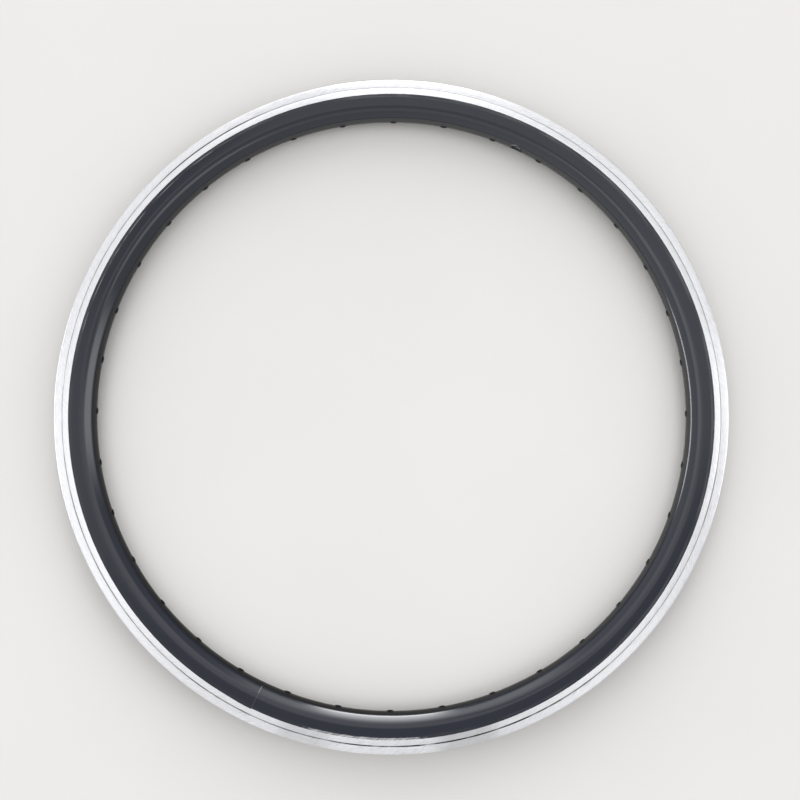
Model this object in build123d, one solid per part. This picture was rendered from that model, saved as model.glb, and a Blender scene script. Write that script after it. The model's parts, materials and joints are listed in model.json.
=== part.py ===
from build123d import *
import os
from math import atan2, cos, degrees, hypot, radians, sin, tan

# A bare double-wall bicycle rim, lying flat with its axle line on Z and its valve hole on +X.
# Sizes are in millimetres and degrees. A section point is (radius from the axle line, height from mid-plane).

# Tyre seat
bead_seat_diameter = 507.0
flange_height = 6.25
inner_width = 18.0
hook_height = 2.3
hook_undercut = 1.1
hook_chamfer = 0.8
seat_width = 3.4
well_depth = 3.6
well_width = 9.8

# Brake tracks
rim_width = 24.0
track_height = 11.2
edge_chamfer = 0.7
wear_groove_from_edge = 6.4
wear_groove_width = 0.8
wear_groove_depth = 0.35

# Flanks and spoke bed
rim_depth = 29.3
shoulder_length = 7.4
shoulder_slope = 9.0
bed_width = 10.32
bed_crown = 1.63

# Walls of the extrusion
side_wall = 1.7
flank_wall = 1.15
bridge_wall = 1.2
bed_wall = 2.2

# Drilling
spoke_count = 36
spoke_hole_diameter = 4.5
nipple_access_diameter = 8.0
valve_hole_diameter = 8.5
valve_bevel = 0.6
drill_overrun = 4.0

# Butt joint, opposite the valve
seam_gap = 0.15
sleeve_length = 64.0
sleeve_wall = 2.0
sleeve_clearance = 0.05

# Sizes that follow from those above
seat_radius = bead_seat_diameter / 2
rim_radius = seat_radius + flange_height
half_width = rim_width / 2
half_inner = inner_width / 2
half_groove = wear_groove_width / 2
half_well = well_width / 2
half_bed = bed_width / 2
track_inner_radius = rim_radius - track_height
groove_radius = rim_radius - wear_groove_from_edge
hook_radius = rim_radius - hook_height
well_radius = seat_radius - well_depth
channel_side = half_width - side_wall
seat_edge = channel_side - seat_width
bed_radius = rim_radius - rim_depth
bed_inner_radius = bed_radius + bed_wall
bridge_inner_radius = well_radius - bridge_wall
seat_inner_radius = seat_radius - bridge_wall
spoke_pitch = 360 / spoke_count

# Each flank is a straight shoulder below the brake track, then an arc that runs on to the crowned spoke bed
slope = radians(shoulder_slope)
shoulder_run = (-cos(slope), -sin(slope))
shoulder_end = (track_inner_radius - shoulder_length, half_width - shoulder_length * tan(slope))
bed_edge = (bed_radius + bed_crown, half_bed)
flank_chord = (shoulder_end[0] - bed_edge[0], shoulder_end[1] - bed_edge[1])
flank_turn = atan2(flank_chord[1], flank_chord[0]) - slope
flank_radius = hypot(*flank_chord) / (2 * sin(flank_turn))
flank_centre = (shoulder_end[0] + flank_radius * sin(slope), shoulder_end[1] - flank_radius * cos(slope))

# The chamber keeps the flank's wall at the shoulder's end, halfway down the flank and at its own floor
flank_middle = radians(90) - slope - flank_turn
chamber_shoulder = (shoulder_end[0] + flank_wall * sin(slope), shoulder_end[1] - flank_wall * cos(slope))
chamber_flank = (
    flank_centre[0] - (flank_radius - flank_wall) * cos(flank_middle),
    flank_centre[1] + (flank_radius - flank_wall) * sin(flank_middle),
)
chamber_floor = (bed_inner_radius, half_bed - flank_wall)


def mirrored(points):
    """The same section points on the other side of the mid-plane."""
    return [(radius, -height) for radius, height in points]


def outer_outline():
    """The section without its chamber: bed, flanks, brake tracks, hooked flanges and drop-centre well."""
    shoulder_to_well = [
        shoulder_end,
        (track_inner_radius, half_width),
        (groove_radius - half_groove, half_width),
        (groove_radius, half_width - wear_groove_depth),
        (groove_radius + half_groove, half_width),
        (rim_radius - edge_chamfer, half_width),
        (rim_radius, half_width - edge_chamfer),
        (rim_radius, half_inner + hook_chamfer),
        (rim_radius - hook_chamfer, half_inner),
        (hook_radius, half_inner),
        (hook_radius - hook_undercut, channel_side),
        (seat_radius, channel_side),
        (seat_radius, seat_edge),
        (well_radius, half_well),
    ]
    with BuildSketch(Plane.XZ) as outline:
        with BuildLine():
            upper = Polyline(*shoulder_to_well)
            lower = Polyline(*mirrored(shoulder_to_well))
            Line(upper @ 1, lower @ 1)
            TangentArc(shoulder_end, bed_edge, tangent=shoulder_run)
            TangentArc(*mirrored([shoulder_end, bed_edge]), tangent=(shoulder_run[0], -shoulder_run[1]))
            ThreePointArc(bed_edge, (bed_radius, 0), *mirrored([bed_edge]))
        make_face()
    return outline.sketch


def straight_outline(upper_points):
    """A straight-sided outline given by its points above the mid-plane."""
    with BuildSketch(Plane.XZ) as outline:
        Polygon(*upper_points, *reversed(mirrored(upper_points)), align=None)
    return outline.sketch


def chamber_outline():
    """The hollow between the two walls, which reaches up beside the well to the bead seats."""
    bridge_shift = bridge_wall * tan(atan2(well_depth, seat_edge - half_well) / 2)
    return straight_outline([
        (bridge_inner_radius, half_well + bridge_shift),
        (seat_inner_radius, seat_edge + bridge_shift),
        (seat_inner_radius, channel_side),
        chamber_shoulder,
        chamber_flank,
        chamber_floor,
    ])


def sleeve_outline():
    """The part of the chamber under the well, less a clearance and hollowed to the sleeve's wall."""
    rise = (bridge_inner_radius - chamber_shoulder[0]) / (seat_inner_radius - chamber_shoulder[0])
    bridge_height = chamber_shoulder[1] + rise * (channel_side - chamber_shoulder[1])
    bridge_corner = (bridge_inner_radius, bridge_height)
    plug = straight_outline([bridge_corner, chamber_shoulder, chamber_flank, chamber_floor])
    outer = offset(plug, -sleeve_clearance, kind=Kind.INTERSECTION)
    return outer - offset(outer, -sleeve_wall, kind=Kind.INTERSECTION)


def rolled(section, arc, middle):
    """A section rolled about the axle line through an arc centred on an azimuth."""
    return Rot(0, 0, middle - arc / 2) * revolve(section, axis=Axis.Z, revolution_arc=arc)


def radial_drill(azimuth, diameter, from_radius, to_radius):
    """A round drill that points out from the axle line at mid-width."""
    drill = Cylinder(diameter / 2, to_radius - from_radius)
    return Rot(0, 0, azimuth) * Pos((from_radius + to_radius) / 2, 0, 0) * Rot(0, 90, 0) * drill


def spoke_azimuths():
    """Evenly spaced, with the valve hole midway between two of them."""
    return [(index + 0.5) * spoke_pitch for index in range(spoke_count)]


def build_hoop():
    """The extrusion rolled into a hoop, its ends butted at the seam, then drilled; the valve hole has a bevel."""
    seam_arc = degrees(seam_gap / rim_radius)
    hoop = rolled(outer_outline() - chamber_outline(), 360 - seam_arc, 0)
    drill_start = bed_radius - drill_overrun
    chamber_middle = (bed_inner_radius + bridge_inner_radius) / 2
    cutters = []
    for azimuth in spoke_azimuths():
        cutters.append(radial_drill(azimuth, spoke_hole_diameter, drill_start, chamber_middle))
        cutters.append(radial_drill(azimuth, nipple_access_diameter, chamber_middle, rim_radius))
    cutters.append(radial_drill(0, valve_hole_diameter, drill_start, rim_radius))
    hoop -= cutters
    curved_edges = hoop.edges().filter_by(GeomType.LINE, reverse=True)
    valve_mouth = curved_edges.sort_by_distance((bed_radius, 0, 0))[0]
    return hoop.chamfer(valve_bevel, valve_bevel, [valve_mouth])


def build_sleeve():
    """The insert that bridges the seam inside the chamber, drilled in line with the holes that it spans."""
    sleeve_arc = degrees(sleeve_length / seat_radius)
    sleeve = rolled(sleeve_outline(), sleeve_arc, 180)
    for azimuth in spoke_azimuths():
        if abs(azimuth - 180) < sleeve_arc:
            sleeve -= radial_drill(azimuth, nipple_access_diameter, bed_radius, rim_radius)
    return sleeve


os.makedirs("parts", exist_ok=True)
for node, shape in {"rim_hoop": build_hoop(), "joint_sleeve": build_sleeve()}.items():
    export_step(shape, f"parts/{node}.step")
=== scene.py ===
import json
import math

import bpy
from mathutils import Matrix, Vector


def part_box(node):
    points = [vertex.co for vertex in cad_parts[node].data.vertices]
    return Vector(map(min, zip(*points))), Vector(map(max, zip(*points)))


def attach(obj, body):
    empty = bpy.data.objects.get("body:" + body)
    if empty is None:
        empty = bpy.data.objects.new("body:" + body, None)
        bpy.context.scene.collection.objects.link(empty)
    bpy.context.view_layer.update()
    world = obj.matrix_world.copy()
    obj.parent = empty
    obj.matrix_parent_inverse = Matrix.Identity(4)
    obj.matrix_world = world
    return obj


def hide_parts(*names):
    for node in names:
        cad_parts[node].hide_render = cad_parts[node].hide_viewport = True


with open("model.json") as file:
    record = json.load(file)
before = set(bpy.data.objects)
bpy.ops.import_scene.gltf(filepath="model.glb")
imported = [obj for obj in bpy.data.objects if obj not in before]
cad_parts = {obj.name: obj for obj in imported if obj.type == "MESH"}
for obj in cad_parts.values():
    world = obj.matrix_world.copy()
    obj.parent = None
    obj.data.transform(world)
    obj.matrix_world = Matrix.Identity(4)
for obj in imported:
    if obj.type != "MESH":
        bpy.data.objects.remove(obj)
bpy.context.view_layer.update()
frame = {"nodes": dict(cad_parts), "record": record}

# A bare double-wall bicycle rim that lies flat: a black hoop with bright brake tracks, seen from above.
# Sizes are in millimetres and degrees, apart from the floor and the lamps, which are in metres.
# A section point is (radius from the axle line, height from mid-plane).
MM = 0.001
mounts = {mount["name"]: mount["dims"] for mount in frame["record"]["mounts"]}
half_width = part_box("rim_hoop")[1].z / MM

# Tyre seat
flange_height = 6.25
well_depth = 3.6
seat_width = 3.4
side_wall = 1.7
hook_height = 2.3
hook_undercut = 1.1
hook_chamfer = 0.8
half_inner = 9.0
half_well = 4.9
seat_radius = mounts["tyre_bead_seat"]["r_mm"]
rim_radius = seat_radius + flange_height
hook_radius = rim_radius - hook_height
well_radius = seat_radius - well_depth
channel_side = half_width - side_wall
seat_edge = channel_side - seat_width

# Brake tracks
track_height = 11.2
edge_chamfer = 0.7
groove_from_edge = 6.4
half_groove = 0.4
groove_depth = 0.35
track_inner_radius = rim_radius - track_height
groove_radius = rim_radius - groove_from_edge

# Flanks and crowned spoke bed
rim_depth = 29.3
shoulder_length = 7.4
bed_crown = 1.63
half_bed = 5.16
slope = math.radians(9)
bed_radius = rim_radius - rim_depth
shoulder_end = (track_inner_radius - shoulder_length, half_width - shoulder_length * math.tan(slope))
bed_edge = (bed_radius + bed_crown, half_bed)
bed_curve = (half_bed**2 + bed_crown**2) / (2 * bed_crown)
bed_turn = math.asin(half_bed / bed_curve)
flank_chord = (shoulder_end[0] - bed_edge[0], shoulder_end[1] - bed_edge[1])
flank_turn = 2 * (math.atan2(flank_chord[1], flank_chord[0]) - slope)
flank_curve = math.hypot(*flank_chord) / (2 * math.sin(flank_turn / 2))
flank_centre = (
    shoulder_end[0] + flank_curve * math.sin(slope),
    shoulder_end[1] - flank_curve * math.cos(slope),
)

# Chamber and the walls round it
flank_wall = 1.15
bridge_wall = 1.2
bed_wall = 2.2
bridge_shift = bridge_wall * math.tan(math.atan2(well_depth, seat_edge - half_well) / 2)
bridge_inner_radius = well_radius - bridge_wall
seat_inner_radius = seat_radius - bridge_wall
bed_inner_radius = bed_radius + bed_wall
chamber_middle = (bed_radius + well_radius) / 2
chamber_curve = flank_curve - flank_wall
chamber_turn = math.pi / 2 - slope - flank_turn / 2

# Rounding of the section's corners
groove_rounding = 0.12
edge_rounding = 0.2
flange_rounding = 0.35
hook_rounding = 0.4
seat_rounding = 0.7
well_rounding = 1.0

# Drilling
spoke_count = 36
spoke_pitch = 360 / spoke_count
spoke_hole_radius = mounts["spoke_hole_left_of_valve"]["r_mm"]
valve_hole_radius = mounts["valve_hole"]["r_mm"]
access_hole_radius = 4.0
spoke_bed_lip = 0.05
spoke_tyre_lip = 0.35
valve_bed_lip = 1.6
valve_tyre_lip = 0.5
lip_taper = 0.45
drill_step = 0.5
drill_overrun = 3.0

# Low lands round the spoke holes
land_height = 0.22
land_width = 0.5
land_root = 1.1

# Butt seam, opposite the valve
seam_gap = 0.06
seam_arc = seam_gap / rim_radius

# Fineness of the meshes, where points closer than a hair are one
hair = 0.01
hoop_steps = 480
bed_steps = 8
flank_steps = 16
groove_segments = 2
corner_segments = 3
drill_sides = 48
smooth_angle = math.radians(28)

# Marks that the photo shows: a side is an azimuth, and a band or arc is (middle, half, soft edge)
# Of these, painted light or shade: the bed's light side, the border's sheen side, the shoulder's highlight
# line, the valve bevel's bright arc and the track's two shaded stretches.
bed_light_side = -4
border_sheen_side = -10
rubbed_sheen_band = (track_inner_radius - 1.2, 0.8, 0.8)
edge_highlight_band = (track_inner_radius - 2.1, 0.15, 0.1)
edge_highlight_arc = (78, 20, 6)
skimmed_band = (track_inner_radius, 1.25, 0.25)
skimmed_arc = (-159.7, 8.5, 2.5)
valve_bevel_band = (valve_hole_radius + 0.7, 0.25, 0.2)
seam_line_band = (0.0, 0.08, 0.12)
seam_bright_band = (bed_edge[0] + 2.2, 1.4, 2.5)
seam_dark_band = (0.8, 0.15, 0.3)
seam_step = 0.5
seam_step_length = 25.0
shaded_track_arc = (-141.5, 3, 4)
fainter_shaded_track_arc = (-170, 2.5, 3.5)

# Painted shade in the wear groove: (side, cosine where it starts, cosine where it is full, how much)
# and its darkest places: (arc, how much)
shaded_groove_sides = [(-152, 0.7, 0.86, 0.33), (-140, 0.88, 0.96, 0.25), (148, 0.85, 0.95, 0.14)]
paler_groove_side = 22
darkest_groove_arcs = [((60, 6, 12), 0.8), ((-80, 3, 7), 0.6)]

# Camera: the image's right on the rim, then its place and tilt there
image_right = math.radians(-64.72)
camera_place = Vector((5.7, -23.2, 703.7))
camera_tilt = (2.66, -0.068)
camera_lens = 40.5
camera_sensor = 36

# Floor and soft boxes overhead; boxes that overlap hang at different heights, so that none hides another
floor_size = 12
high_lamp = 1.8
low_lamp = 1.75
lowest_lamp = 1.7

# Room light: its plain level, and what each side adds or takes
room_tint = (1, 1, 1.02, 1)
room_level = 0.6
left_adds = 0.35
bottom_adds = 0.15
right_takes = 0.12
overhead_takes = 0.14
skirting_takes = 0.5
skirting_band = (0, 4, 9)

# Windows: radiance, then bands of azimuth from the image's right and of elevation
top_window_radiance = 7.3
top_window_arc = (88.5, 8, 7)
top_window_top = 54.0
top_sill = (4.0, top_window_arc, (5, 3, 4))
top_wall = (1.3, (93, 22, 16), (30, 8, 22))
right_window = (1.9, (-1.5, 7, 15), (32, 14, 14))
left_window = (7.5, (180, 13, 10), (1.5, 3.5, 4))

# Sockets told apart by number: the Texture Coordinate node's outputs, and the Mix node's colour sockets
room_direction = 0
object_point = 3
mix_share, mix_below, mix_above = 0, 6, 7
mix_result = 2


def pick_nothing():
    bpy.ops.object.select_all(action="DESELECT")


def pin(point):
    """Starts an outline: a small plane at a section point, merged to one vertex."""
    bpy.ops.mesh.primitive_plane_add(size=MM, location=(point[0] * MM, 0, point[1] * MM))
    if bpy.context.object.mode == "OBJECT":
        bpy.ops.object.transform_apply()
        bpy.ops.object.mode_set(mode="EDIT")
    bpy.ops.mesh.merge(type="CENTER")


def run(*points):
    """Extrudes the picked vertex along straight runs from the first section point to the last."""
    for start, end in zip(points, points[1:]):
        move = ((end[0] - start[0]) * MM, 0, (end[1] - start[1]) * MM)
        bpy.ops.mesh.extrude_vertices_move(TRANSFORM_OT_translate={"value": move})


def sweep(centre, turn, steps):
    """Spins the picked vertex into an arc about a section point."""
    bpy.ops.mesh.spin(steps=steps, angle=-turn, center=(centre[0] * MM, 0, centre[1] * MM), axis=(0, 1, 0))


def round_corners(piece, points, radius, segments=corner_segments):
    """Bevels the outline's vertices that lie at the given section points."""
    bpy.ops.mesh.select_all(action="DESELECT")
    bpy.ops.object.mode_set(mode="OBJECT")
    for vertex in piece.data.vertices:
        place = (vertex.co.x / MM, vertex.co.z / MM)
        vertex.select = any(math.dist(place, point) < hair for point in points)
    bpy.ops.object.mode_set(mode="EDIT")
    bpy.ops.mesh.bevel(affect="VERTICES", offset=radius * MM, segments=segments)


def draw_section():
    """The upper half of the section, outside and chamber, with its corners rounded, then mirrored."""
    track_corner = (track_inner_radius, half_width)
    groove = [
        (groove_radius - half_groove, half_width),
        (groove_radius, half_width - groove_depth),
        (groove_radius + half_groove, half_width),
    ]
    track_edge = [(rim_radius - edge_chamfer, half_width), (rim_radius, half_width - edge_chamfer)]
    flange_top = [(rim_radius, half_inner + hook_chamfer), (rim_radius - hook_chamfer, half_inner)]
    hook = [(hook_radius, half_inner), (hook_radius - hook_undercut, channel_side)]
    seat = [(seat_radius, channel_side), (seat_radius, seat_edge)]
    well = [(well_radius, half_well), (well_radius, 0)]
    chamber_shoulder = (
        shoulder_end[0] + flank_wall * math.sin(slope),
        shoulder_end[1] - flank_wall * math.cos(slope),
    )
    chamber_flank = (
        flank_centre[0] - chamber_curve * math.cos(chamber_turn),
        flank_centre[1] + chamber_curve * math.sin(chamber_turn),
    )
    chamber = [
        (bridge_inner_radius, 0),
        (bridge_inner_radius, half_well + bridge_shift),
        (seat_inner_radius, seat_edge + bridge_shift),
        (seat_inner_radius, channel_side),
        chamber_shoulder,
        chamber_flank,
        (bed_inner_radius, half_bed - flank_wall),
        (bed_inner_radius, 0),
    ]

    pick_nothing()
    pin((bed_radius, 0))
    piece = bpy.context.object
    piece.name = piece.data.name = "anodised_hoop"
    sweep((bed_radius + bed_curve, 0), bed_turn, bed_steps)
    sweep(flank_centre, flank_turn, flank_steps)
    run(shoulder_end, track_corner, *groove, *track_edge, *flange_top, *hook, *seat, *well)
    pin(chamber[0])
    run(*chamber)

    round_corners(piece, [track_corner, groove[0], groove[2]], groove_rounding, groove_segments)
    round_corners(piece, track_edge, edge_rounding)
    round_corners(piece, flange_top, flange_rounding)
    round_corners(piece, hook, hook_rounding)
    round_corners(piece, seat, seat_rounding)
    round_corners(piece, well[:1], well_rounding)
    bpy.ops.object.mode_set(mode="OBJECT")
    mirror = piece.modifiers.new("both_halves", "MIRROR")
    mirror.use_axis = (False, False, True)
    mirror.merge_threshold = hair * MM
    bpy.ops.object.modifier_apply(modifier=mirror.name)
    return piece


def roll_hoop(piece):
    """Fills the section and spins it round the axle line, from one end of the seam to the other."""
    bpy.ops.object.mode_set(mode="EDIT")
    bpy.ops.mesh.select_all(action="SELECT")
    bpy.ops.mesh.fill()
    bpy.ops.mesh.spin(steps=hoop_steps, angle=math.tau - seam_arc, center=(0, 0, 0), axis=(0, 0, 1))
    bpy.ops.mesh.select_all(action="SELECT")
    bpy.ops.mesh.normals_make_consistent(inside=False)
    bpy.ops.object.mode_set(mode="OBJECT")
    piece.rotation_euler.z = math.pi - seam_arc / 2
    bpy.ops.object.transform_apply(location=False, rotation=True, scale=False)


def make_drill(stages):
    """A cutter that points out along X, from stages of (radius along the rim, radius of the hole)."""
    start, width = stages[0]
    pick_nothing()
    bpy.ops.mesh.primitive_circle_add(
        vertices=drill_sides, radius=width * MM, fill_type="NGON",
        location=(start * MM, 0, 0), rotation=(0, math.pi / 2, 0),
    )
    piece = bpy.context.object
    bpy.ops.object.transform_apply()
    bpy.ops.object.mode_set(mode="EDIT")
    bpy.ops.mesh.select_all(action="SELECT")
    for place, radius in stages[1:]:
        move = ((place - start) * MM, 0, 0)
        widen = radius / width
        bpy.ops.mesh.extrude_region_move(TRANSFORM_OT_translate={"value": move})
        bpy.ops.transform.resize(value=(1, widen, widen), center_override=(place * MM, 0, 0))
        start, width = place, radius
    bpy.ops.mesh.select_all(action="SELECT")
    bpy.ops.mesh.normals_make_consistent(inside=False)
    bpy.ops.object.mode_set(mode="OBJECT")
    return piece


def at_spoke_holes(pattern):
    """A copy of a turned piece at each spoke hole, all joined into one, with the piece itself removed."""
    copies = []
    for index in range(spoke_count):
        copy = pattern.copy()
        copy.data = pattern.data.copy()
        copy.rotation_euler.z = math.radians((index + 0.5) * spoke_pitch)
        bpy.context.scene.collection.objects.link(copy)
        copies.append(copy)
    bpy.data.objects.remove(pattern)
    return join(copies)


def join(pieces):
    """Makes one piece of several, under the name of the first."""
    pick_nothing()
    for piece in pieces:
        piece.select_set(True)
    bpy.context.view_layer.objects.active = pieces[0]
    bpy.ops.object.join()
    return pieces[0]


def shape_with(piece, operation, tool):
    """Adds a tool's solid to a piece or cuts it away, then removes the tool."""
    pick_nothing()
    piece.select_set(True)
    bpy.context.view_layer.objects.active = piece
    change = piece.modifiers.new("shaped", "BOOLEAN")
    change.operation = operation
    change.solver = "MANIFOLD"
    change.object = tool
    bpy.ops.object.modifier_apply(modifier=change.name)
    bpy.data.objects.remove(tool)


def hole_stages(bed_hole, tyre_hole, bed_lip, tyre_lip):
    """A hole through both walls, with a tapered lip at the spoke bed and at the well."""
    bed_mouth = bed_hole + lip_taper * (drill_overrun + bed_lip)
    tyre_mouth = tyre_hole + lip_taper * (drill_overrun + tyre_lip)
    return [
        (bed_radius - drill_overrun, bed_mouth),
        (bed_radius + bed_lip, bed_hole),
        (chamber_middle, bed_hole),
        (chamber_middle + drill_step, tyre_hole),
        (well_radius - tyre_lip, tyre_hole),
        (well_radius + drill_overrun, tyre_mouth),
    ]


def raise_lands(piece):
    """Raises a low round land on the spoke bed for each spoke hole, as punching leaves it."""
    top_radius = spoke_hole_radius + land_width
    root_radius = top_radius + land_width
    land = make_drill([(bed_radius - land_height, top_radius), (bed_radius + land_root, root_radius)])
    shape_with(piece, "UNION", at_spoke_holes(land))


def drill_hoop(piece):
    """Cuts the spoke holes with their nipple holes, and the valve hole."""
    spoke_stages = hole_stages(spoke_hole_radius, access_hole_radius, spoke_bed_lip, spoke_tyre_lip)
    valve_stages = hole_stages(valve_hole_radius, valve_hole_radius, valve_bed_lip, valve_tyre_lip)
    spoke_drill = make_drill(spoke_stages)
    valve_drill = make_drill(valve_stages)
    shape_with(piece, "DIFFERENCE", join([at_spoke_holes(spoke_drill), valve_drill]))
    bpy.ops.object.shade_smooth_by_angle(angle=smooth_angle)


class Level:
    """A number that varies over a surface. Sums on it add Math nodes to its finish."""

    def __init__(self, finish, socket):
        self.finish = finish
        self.socket = socket

    def __add__(self, other):
        return self.finish.math("ADD", self, other)

    def __sub__(self, other):
        return self.finish.math("SUBTRACT", self, other)

    def __rsub__(self, other):
        return self.finish.math("SUBTRACT", other, self)

    def __mul__(self, other):
        return self.finish.math("MULTIPLY", self, other)

    def __truediv__(self, other):
        return self.finish.math("DIVIDE", self, other)

    def __pow__(self, power):
        return self.finish.math("POWER", self, power)

    def __abs__(self):
        return self.finish.math("ABSOLUTE", self)

    __radd__ = __add__
    __rmul__ = __mul__


class Finish:
    """The nodes of a material or of the world, which end in one shader."""

    def __init__(self, owner, shader="Principled BSDF"):
        owner.use_nodes = True
        self.owner = owner
        self.tree = owner.node_tree
        self.shader = self.tree.nodes[shader]

    def node(self, kind, settings, sockets):
        """Adds a node with its settings, then its socket values or links, and gives its outputs."""
        node = self.tree.nodes.new("ShaderNode" + kind)
        for name, value in settings.items():
            setattr(node, name, value)
        self.feed(node, sockets)
        return [Level(self, output) for output in node.outputs]

    def feed(self, node, sockets):
        for name, value in sockets.items():
            if isinstance(value, Level):
                self.tree.links.new(value.socket, node.inputs[name])
            else:
                node.inputs[name].default_value = value

    def math(self, operation, *values):
        return self.node("Math", {"operation": operation}, dict(enumerate(values)))[0]

    def most(self, first, second):
        return self.math("MAXIMUM", first, second)

    def rise(self, value, start, end):
        """0 up to the start, 1 from the end on, smooth between."""
        sockets = {"Value": value, "From Min": start, "From Max": end}
        return self.node("MapRange", {"interpolation_type": "SMOOTHSTEP"}, sockets)[0]

    def band(self, value, middle, half, soft):
        """1 within half of the middle, fading to 0 over the soft stretch beyond."""
        return 1 - self.rise(abs(value - middle), half, half + soft)

    def coordinates(self, output):
        return self.node("TexCoord", {}, {})[output]

    def vector(self, x, y, z):
        return self.node("CombineXYZ", {}, {"X": x, "Y": y, "Z": z})[0]

    def parts(self, vector):
        return self.node("SeparateXYZ", {}, {0: vector})

    def noise(self, vector, scale, detail=2.0, roughness=0.5):
        sockets = {"Vector": vector, "Scale": scale, "Detail": detail, "Roughness": roughness}
        return self.node("TexNoise", {}, sockets)[0]

    def blend(self, share, below, above):
        """A colour between two, by a share from 0 to 1."""
        sockets = {mix_share: share, mix_below: below, mix_above: above}
        return self.node("Mix", {"data_type": "RGBA"}, sockets)[mix_result]

    def bump(self, height, strength, distance):
        sockets = {"Height": height, "Strength": strength, "Distance": distance}
        return self.node("Bump", {}, sockets)[0]


class RimPlace:
    """Where a point lies on the rim, in millimetres and degrees from the axle line and mid-plane."""

    def __init__(self, finish):
        self.finish = finish
        self.point = finish.coordinates(object_point)
        x, y, z = finish.parts(self.point)
        self.x = x / MM
        self.y = y / MM
        self.height = z / MM
        self.radius = (self.x * self.x + self.y * self.y) ** 0.5
        self.azimuth = finish.math("ARCTAN2", y, x) * math.degrees(1)
        self.cosine = self.x / self.radius
        self.sine = self.y / self.radius

    def lines(self, round_scale, across, detail=3.0, roughness=0.5):
        """Noise drawn out along the hoop: the round scale sets its length, the value given its width."""
        vector = self.finish.vector(self.cosine * round_scale, self.sine * round_scale, across)
        return self.finish.noise(vector, 1.0, detail, roughness)

    def slants(self, round_scale, across_scale):
        """Noise in slanting strokes, as a cutter leaves them."""
        along = self.azimuth * round_scale + self.radius * across_scale
        return self.finish.noise(self.finish.vector(along, self.radius * 0.3, 0.0), 1.0, 2.0)

    def towards(self, azimuth):
        """1 on the side of the hoop at an azimuth, falling to -1 on the far side."""
        return self.finish.math("COSINE", (self.azimuth - azimuth) * math.radians(1))

    def beside_track(self, height):
        """1 where a height comes up to the level of a brake track, as it does next to the track's edge."""
        return self.finish.rise(height, half_width - 0.6, half_width - 0.3)

    def valve_half(self):
        """1 on the half of the hoop that has the valve hole."""
        return self.finish.rise(self.x, 0.0, 1.0)

    def seam_half(self):
        """1 on the half of the hoop that has the seam."""
        return self.finish.rise(self.x * -1, 0.0, 1.0)


def grey(level, tint=(1, 1, 1)):
    return (level * tint[0], level * tint[1], level * tint[2], 1)


def rubbed_border_and_sheen(finish, place):
    """Where the black next to both brake tracks is worn in patches by rubbing, with painted sheen making it
    paler, most on one side of the hoop.
    """
    border = finish.band(place.radius, *rubbed_sheen_band) * place.beside_track(abs(place.height))
    patches = finish.rise(place.lines(9, place.radius * 0.4), 0.3, 0.7)
    return border * patches * (0.6 + 0.45 * place.towards(border_sheen_side))


def painted_edge_highlight(finish, place):
    """A painted highlight: a broken light hairline along part of the upper shoulder, where an edge catches
    light.
    """
    line = finish.band(place.radius, *edge_highlight_band) * place.beside_track(place.height)
    breaks = finish.rise(place.lines(14, 3.0), 0.42, 0.6)
    return line * finish.band(place.azimuth, *edge_highlight_arc) * breaks


def skimmed_border(finish, place):
    """A ragged stretch of the upper border that the cutter skimmed, in slanting strokes."""
    ragged = place.lines(70, place.radius * 1.2) - 0.5
    strokes = finish.rise(place.slants(3.0, 1.5), 0.35, 0.6)
    stretch = finish.band(place.azimuth + 6 * ragged, *skimmed_arc)
    border = finish.band(place.radius + 0.8 * ragged, *skimmed_band) * stretch
    return border * place.beside_track(place.height) * (0.3 + 0.5 * strokes)


def valve_bevel_glint(finish, place):
    """A painted highlight: the arc of the valve hole's bevel, above and to one side, made bare pale alloy
    where it catches light.
    """
    reach = (place.y * place.y + place.height * place.height) ** 0.5
    in_bed = 1 - finish.rise(place.radius, bed_radius + 2.4, bed_radius + 3)
    glinting_side = finish.rise(place.height, 0.5, 2.5) * finish.rise(place.y, -1.0, 2.0)
    return 0.3 * finish.band(reach, *valve_bevel_band) * glinting_side * place.valve_half() * in_bed


def seam_marks(finish, place):
    """The seam: a line laid bare on the flanks, brightest low down, and a dark line by it on the bed."""
    off_bed = finish.rise(place.radius, bed_edge[0] - 0.5, bed_edge[0] + 0.5)
    low_flank = finish.band(place.radius, *seam_bright_band)
    line = finish.band(place.y, *seam_line_band) * place.seam_half()
    bright = line * (0.1 + 0.4 * low_flank) * off_bed
    dark = finish.band(place.y, *seam_dark_band) * place.seam_half() * (1 - off_bed)
    return bright, dark


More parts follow.
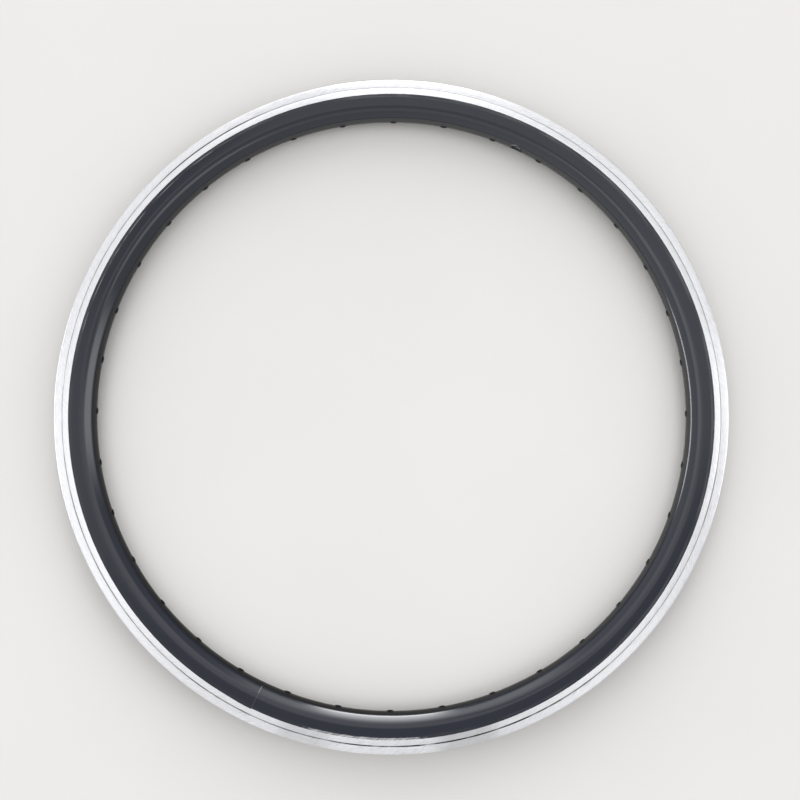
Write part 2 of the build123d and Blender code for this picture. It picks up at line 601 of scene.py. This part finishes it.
def anodised_finish(name, gloss):
    """Black anodised alloy with faint drawn lines, dust specks, and wear that dulls it or lays the alloy
    bare; painted light makes the bed and the track border paler on one side, draws a highlight line on the
    shoulder and a bright arc at the valve bevel.
    """
    finish = Finish(bpy.data.materials.new(name))
    place = RimPlace(finish)
    drawn = place.lines(5, (place.radius + 0.7 * abs(place.height)) * 1.5)
    mottle = finish.noise(place.point, 28.0, 3.0)
    on_bed = 1 - finish.rise(place.radius, bed_edge[0] - 0.2, bed_edge[0])
    # Painted light: the spoke bed made paler towards one side, where more light falls on it.
    painted_bed_light = on_bed * (0.5 + 0.5 * place.towards(bed_light_side))
    specks = finish.rise(finish.noise(place.point, 650.0, 1.0), 0.8, 0.86)
    # Worn patches by the tracks, with painted sheen making them paler towards one side.
    rubbed_and_sheen = rubbed_border_and_sheen(finish, place)
    # Painted highlight: a broken light line on the upper shoulder, where an edge catches light.
    edge_highlight = painted_edge_highlight(finish, place)
    seam_bright, seam_dark = seam_marks(finish, place)
    # The valve bevel's bright arc is a painted highlight, laid on as bare alloy.
    bare = finish.most(valve_bevel_glint(finish, place), seam_bright)
    bare = finish.most(bare, skimmed_border(finish, place))

    colour = finish.blend(mottle, (0.004, 0.0075, 0.016, 1), (0.0075, 0.009, 0.019, 1))
    for share, coat in (
        (on_bed, grey(0.007)),
        (0.9 * painted_bed_light, grey(0.075, (0.99, 1, 1))),
        (0.8 * rubbed_and_sheen, grey(0.06, (0.95, 1, 1.1))),
        (0.6 * edge_highlight, grey(0.35)),
        (0.35 * specks, grey(0.25)),
        (seam_dark, grey(0.001)),
        (bare, grey(0.7)),
    ):
        colour = finish.blend(share, colour, coat)
    sheen = 0.08 + 0.04 * mottle + 0.04 * drawn
    finish.feed(finish.shader, {
        "Base Color": colour,
        "Roughness": sheen + 0.2 * bare + 0.2 * rubbed_and_sheen + 0.4 * seam_dark,
        "Metallic": bare,
        "IOR": gloss,
        "Normal": finish.bump(drawn, 0.05, 0.05 * MM),
    })
    return finish.owner


def painted_groove_shade(finish, place):
    """How much shade is painted in the wear groove: more on some sides, less on one, uneven, with two
    darkest places.
    """
    groove_shade = 0.42
    for side, start, full, more in shaded_groove_sides:
        groove_shade = groove_shade + more * finish.rise(place.towards(side), start, full)
    groove_shade = groove_shade * (1 - 0.7 * finish.rise(place.towards(paler_groove_side), 0.9, 0.97))
    groove_shade = groove_shade * (0.6 + 0.4 * finish.rise(place.lines(14, 0.0), 0.3, 0.6))
    for arc, much in darkest_groove_arcs:
        groove_shade = finish.most(groove_shade, much * finish.band(place.azimuth, *arc))
    return groove_shade


def black_past_border(finish, place):
    """Where the black runs on past the track's corner, to a ragged edge with a small step at the seam."""
    ragged = place.lines(60, place.radius * 0.8) - 0.5
    step = seam_step * finish.rise(place.y, 0.0, 0.05) * (1 - finish.rise(place.y, 2.0, seam_step_length))
    border = track_inner_radius + 0.08 + 0.3 * ragged + step * place.seam_half()
    return 1 - finish.rise(place.radius - border, -0.05, 0.05)


def track_finish():
    """Brake track turned bright: fine lines, slanting strokes, and two stretches and the wear groove
    painted darker as shade.
    """
    finish = Finish(bpy.data.materials.new("machined_track"))
    place = RimPlace(finish)
    grain = 0.5 * place.lines(30, place.radius * 4, 4.0, 0.6) + 0.5 * place.slants(3.6, 1.5)
    streaks = finish.rise(grain, 0.33, 0.67)
    # Painted shade: two stretches of the track made darker grey, where it reflects less light.
    painted_track_shade = finish.band(place.azimuth, *shaded_track_arc) + 0.7 * finish.band(place.azimuth, *fainter_shaded_track_arc)
    # Painted shade: the wear groove made near black, more on some sides than others.
    groove_shade = painted_groove_shade(finish, place)
    in_groove = finish.band(place.radius, groove_radius, 0.25 * groove_shade + half_groove - 0.2, 0.15) * groove_shade
    still_black = black_past_border(finish, place)

    colour = finish.blend(streaks, grey(0.78, (0.985, 0.99, 1.01)), grey(0.97, (0.99, 0.995, 1.01)))
    colour = finish.blend(0.5 * painted_track_shade, colour, grey(0.45))
    colour = finish.blend(in_groove, colour, grey(0.03))
    colour = finish.blend(still_black, colour, grey(0.02))
    finish.feed(finish.shader, {
        "Base Color": colour,
        "Metallic": 1 - still_black,
        "Roughness": 0.27 + 0.08 * streaks + 0.3 * in_groove,
        "Anisotropic": 0.85,
        "Anisotropic Rotation": 0.25,
        "Normal": finish.bump(grain, 0.15, 0.05 * MM),
    })
    return finish.owner


def extruded_finish(name, dark, pale, metallic, roughness):
    """Alloy as the press leaves it, dull with fine drawn lines."""
    finish = Finish(bpy.data.materials.new(name))
    place = RimPlace(finish)
    drawn = place.lines(8, place.radius + place.height)
    finish.feed(finish.shader, {
        "Base Color": finish.blend(drawn, dark, pale),
        "Metallic": metallic,
        "Roughness": roughness + 0.2 * drawn,
        "Normal": finish.bump(drawn, 0.2, 0.1 * MM),
    })
    return finish.owner


def mill_finish():
    """Bare alloy of the joint sleeve."""
    return extruded_finish("mill_finish_alloy", grey(0.5), grey(0.66), metallic=1.0, roughness=0.38)


def chamber_finish():
    """The walls inside the chamber, where the black stayed thin: a dull grey."""
    tint = (0.98, 1, 1.03)
    return extruded_finish("dull_chamber", grey(0.38, tint), grey(0.5, tint), metallic=0.0, roughness=0.6)


def floor_finish():
    """Plain pale floor with the faintest mottling."""
    finish = Finish(bpy.data.materials.new("pale_floor"))
    tint = (1.014, 1, 0.96)
    mottle = finish.noise(finish.coordinates(object_point), 6.0, 3.0)
    finish.feed(finish.shader, {
        "Base Color": finish.blend(mottle, grey(0.72, tint), grey(0.76, tint)),
        "Roughness": 0.75,
        "Specular IOR Level": 0.2,
    })
    return finish.owner


def dress_hoop(piece):
    """Puts the bright finish on the brake tracks, a duller black on the bed and grey inside the chamber."""
    black = anodised_finish("black_anodised_alloy", gloss=1.65)
    bed_black = anodised_finish("black_anodised_bed", gloss=1.25)
    piece.data.materials.clear()
    for finish in (black, bed_black, track_finish(), chamber_finish()):
        piece.data.materials.append(finish)
    bed_slot, track_slot, chamber_slot = 1, 2, 3
    for face in piece.data.polygons:
        radius = face.center.xy.length / MM
        height = face.center.z / MM
        outward = face.normal.xy.dot(face.center.xy.normalized())
        faces_chamber = (chamber_middle - radius) * outward - height * face.normal.z > hair
        if radius < bed_edge[0]:
            face.material_index = bed_slot
        elif radius > track_inner_radius and abs(height) > half_width - edge_chamfer:
            face.material_index = track_slot
        elif faces_chamber and bed_inner_radius - 2 * hair < radius < seat_inner_radius + 2 * hair:
            face.material_index = chamber_slot


def room_light():
    """Soft light all round, stronger from the image's left and bottom, with windows on three sides."""
    room = Finish(bpy.data.worlds.new("studio"), "Background")
    bpy.context.scene.world = room.owner
    x, y, z = room.parts(room.coordinates(room_direction))
    rightward = x * math.cos(image_right) + y * math.sin(image_right)
    upward = y * math.cos(image_right) - x * math.sin(image_right)
    azimuth = room.math("ARCTAN2", upward, rightward) * math.degrees(1)
    elevation = room.math("ARCSINE", z) * math.degrees(1)

    level = room_level - right_takes * room.most(rightward, 0.0)
    level += left_adds * room.most(rightward * -1, 0.0)
    level += bottom_adds * room.most(upward * -1, 0.0)
    level -= overhead_takes * room.rise(elevation, 70.0, 88.0)
    level *= 1 - skirting_takes * room.band(elevation, *skirting_band) * room.rise(upward, 0.2, 0.7)
    below_top = 1 - room.rise(elevation, 0.0, top_window_top)
    level += top_window_radiance * room.band(azimuth, *top_window_arc) * below_top
    for radiance, across, up in (top_sill, top_wall, right_window):
        level += radiance * room.band(azimuth, *across) * room.band(elevation, *up)
    radiance, across, up = left_window
    level += radiance * room.band(abs(azimuth), *across) * room.band(elevation, *up)
    room.feed(room.shader, {"Color": room_tint, "Strength": level})


def soft_box(name, right, up, width, depth, radiance, height=high_lamp):
    """A soft area lamp overhead that faces down, its middle given towards the image's right and top."""
    data = bpy.data.lights.new(name, "AREA")
    data.shape = "RECTANGLE"
    data.size = width
    data.size_y = depth
    data.energy = math.pi * width * depth * radiance
    lamp = bpy.data.objects.new(name, data)
    bpy.context.scene.collection.objects.link(lamp)
    lamp.matrix_world = Matrix.Rotation(image_right, 4, "Z") @ Matrix.Translation((right, up, height))
    lamp.visible_camera = False


hoop = draw_section()
roll_hoop(hoop)
raise_lands(hoop)
drill_hoop(hoop)
dress_hoop(hoop)
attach(hoop, "root")
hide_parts("rim_hoop")

sleeve = frame["nodes"]["joint_sleeve"]
sleeve.data.materials.clear()
sleeve.data.materials.append(mill_finish())

camera_data = bpy.data.cameras.new("camera")
camera_data.sensor_width = camera_sensor
camera_data.lens = camera_lens
camera = bpy.data.objects.new("camera", camera_data)
bpy.context.scene.collection.objects.link(camera)
camera.matrix_world = (
    Matrix.Rotation(image_right, 4, "Z")
    @ Matrix.Translation(camera_place * MM)
    @ Matrix.Rotation(math.radians(camera_tilt[0]), 4, "X")
    @ Matrix.Rotation(math.radians(camera_tilt[1]), 4, "Y")
)
bpy.context.scene.camera = camera

pick_nothing()
bpy.ops.mesh.primitive_plane_add(size=floor_size, location=(0, 0, -half_width * MM))
floor = bpy.context.object
floor.name = "floor"
floor.data.materials.append(floor_finish())

room_light()
soft_box("overhead_top", right=0.12, up=0.65, width=0.54, depth=1.3, radiance=0.42)
soft_box("overhead_top_right", right=0.82, up=0.64, width=0.86, depth=1.28, radiance=0.54)
soft_box("overhead_corner", right=-0.75, up=0.7, width=0.9, depth=1.0, radiance=0.42)
soft_box("overhead_left", right=-0.84, up=-0.25, width=0.82, depth=0.9, radiance=0.74)
soft_box("overhead_right", right=0.66, up=-0.58, width=0.5, depth=0.75, radiance=0.9)
soft_box("overhead_bottom", right=0.0, up=-0.95, width=1.4, depth=0.7, radiance=0.2, height=low_lamp)
soft_box("overhead_inner", right=-0.25, up=0.02, width=0.34, depth=0.24, radiance=0.32, height=lowest_lamp)
bpy.context.scene.view_settings.view_transform = "Standard"
